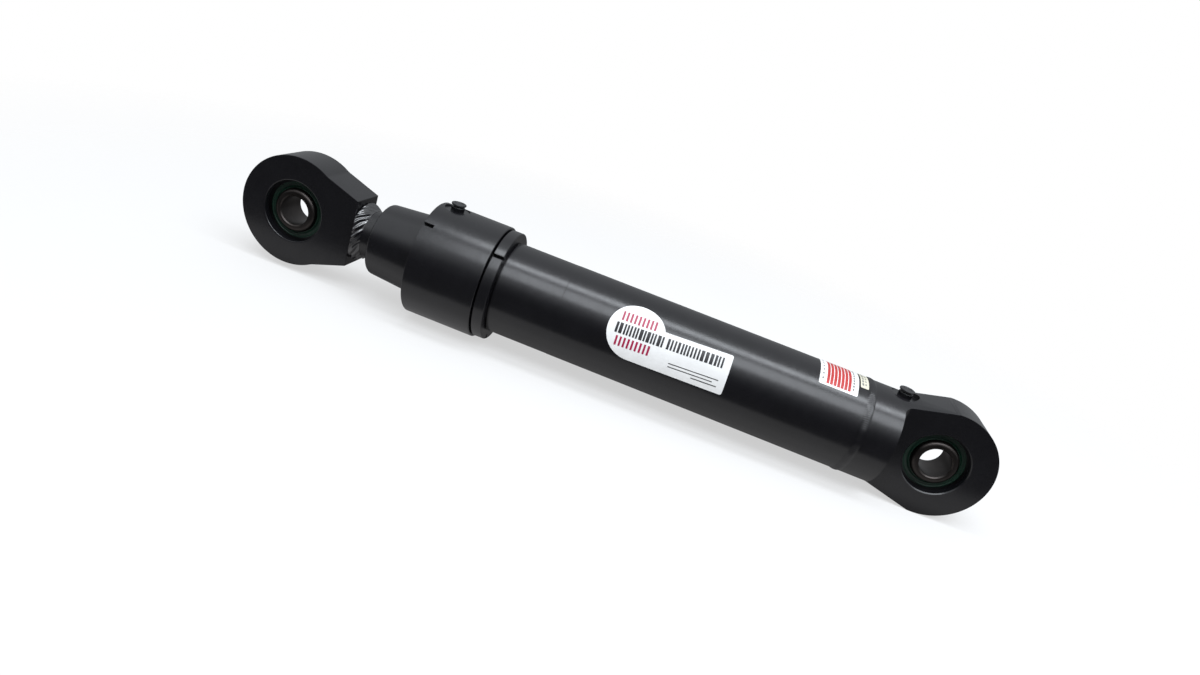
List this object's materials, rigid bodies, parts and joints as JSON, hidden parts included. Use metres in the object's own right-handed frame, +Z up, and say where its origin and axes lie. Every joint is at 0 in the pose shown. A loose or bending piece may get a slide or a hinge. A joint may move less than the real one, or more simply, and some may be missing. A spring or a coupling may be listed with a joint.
{
  "type": "hydraulic cylinder",
  "caption": "Double-acting hydraulic cylinder with a welded eye and bearing at each end, a screwed-on head with lock ring, and plugged ports on top.",
  "frame": {"origin": "centre of the base eye's pin bore, midway between the eye's faces", "axes": "+X along the cylinder from the rod end to the base end, +Y along the base pin, +Z up through the ports"},
  "size_m": [0.791, 0.118, 0.1238],
  "materials": {
    "black_paint": "semi-gloss black machine enamel",
    "rod_chrome": "hard chrome, ground and polished",
    "bearing_steel": "dark phosphated bearing steel",
    "bushing_steel": "oiled brown-grey hardened steel",
    "spring_steel": "blackened spring steel",
    "machined_steel": "turned steel, lightly oiled",
    "bronze": "machined bronze",
    "green_seal": "dark green moulded polyurethane",
    "black_rubber": "moulded nitrile rubber",
    "blue_seal": "moulded polyurethane",
    "buffer_seal": "filled plastic",
    "ptfe": "filled fluoroplastic",
    "wear_ring": "fabric-filled phenolic",
    "plug_plastic": "satin black plastic",
    "label_white": "satin printed vinyl",
    "label_cream": "satin printed vinyl"
  },
  "bodies": {
    "barrel": {"barrel_tube": "black_paint", "base_cap": "black_paint", "base_weld": "black_paint", "base_race": "bearing_steel", "base_dust_seal_front": "green_seal", "base_dust_seal_rear": "green_seal", "base_snap_ring_front": "spring_steel", "base_snap_ring_rear": "spring_steel", "head": "black_paint", "lock_ring": "black_paint", "head_o_ring": "black_rubber", "head_backup_ring": "ptfe", "rod_wiper": "black_rubber", "rod_u_cup": "blue_seal", "rod_buffer_seal": "buffer_seal", "rod_guide_bush": "bronze", "head_port_plug": "plug_plastic", "base_port_plug": "plug_plastic", "label_main": "label_white", "label_striped": "label_white", "label_small": "label_cream"},
    "base_inner_ring": {"base_bushing": "bushing_steel"},
    "piston_rings": {"piston_seal": "ptfe", "seal_energizer": "black_rubber", "wear_ring_front": "wear_ring", "wear_ring_rear": "wear_ring"},
    "piston_rod": {"rod": "rod_chrome", "rod_eye": "black_paint", "rod_eye_weld": "black_paint", "rod_eye_race": "bearing_steel", "rod_eye_dust_seal_front": "green_seal", "rod_eye_dust_seal_rear": "green_seal", "rod_eye_snap_ring_front": "spring_steel", "rod_eye_snap_ring_rear": "spring_steel", "piston": "machined_steel", "piston_nut": "machined_steel", "nut_set_screw": "spring_steel", "piston_o_ring": "black_rubber"},
    "rod_inner_ring": {"rod_eye_bushing": "bushing_steel"}
  },
  "joints": [
    {"name": "rod_stroke", "type": "slide", "parent": "barrel", "child": "piston_rings", "axis": [-1, 0, 0], "range_m": [0, 0.32]},
    {"name": "rod_turn", "type": "hinge", "parent": "piston_rings", "child": "piston_rod", "pos_m": [-0.15, 0, 0], "axis": [1, 0, 0], "continuous": true},
    {"name": "base_bearing_turn", "type": "hinge", "parent": "barrel", "child": "base_inner_ring", "pos_m": [0, 0, 0], "axis": [0, 1, 0], "continuous": true},
    {"name": "rod_bearing_turn", "type": "hinge", "parent": "piston_rod", "child": "rod_inner_ring", "pos_m": [-0.68, 0, 0], "axis": [0, 1, 0], "continuous": true}
  ]
}
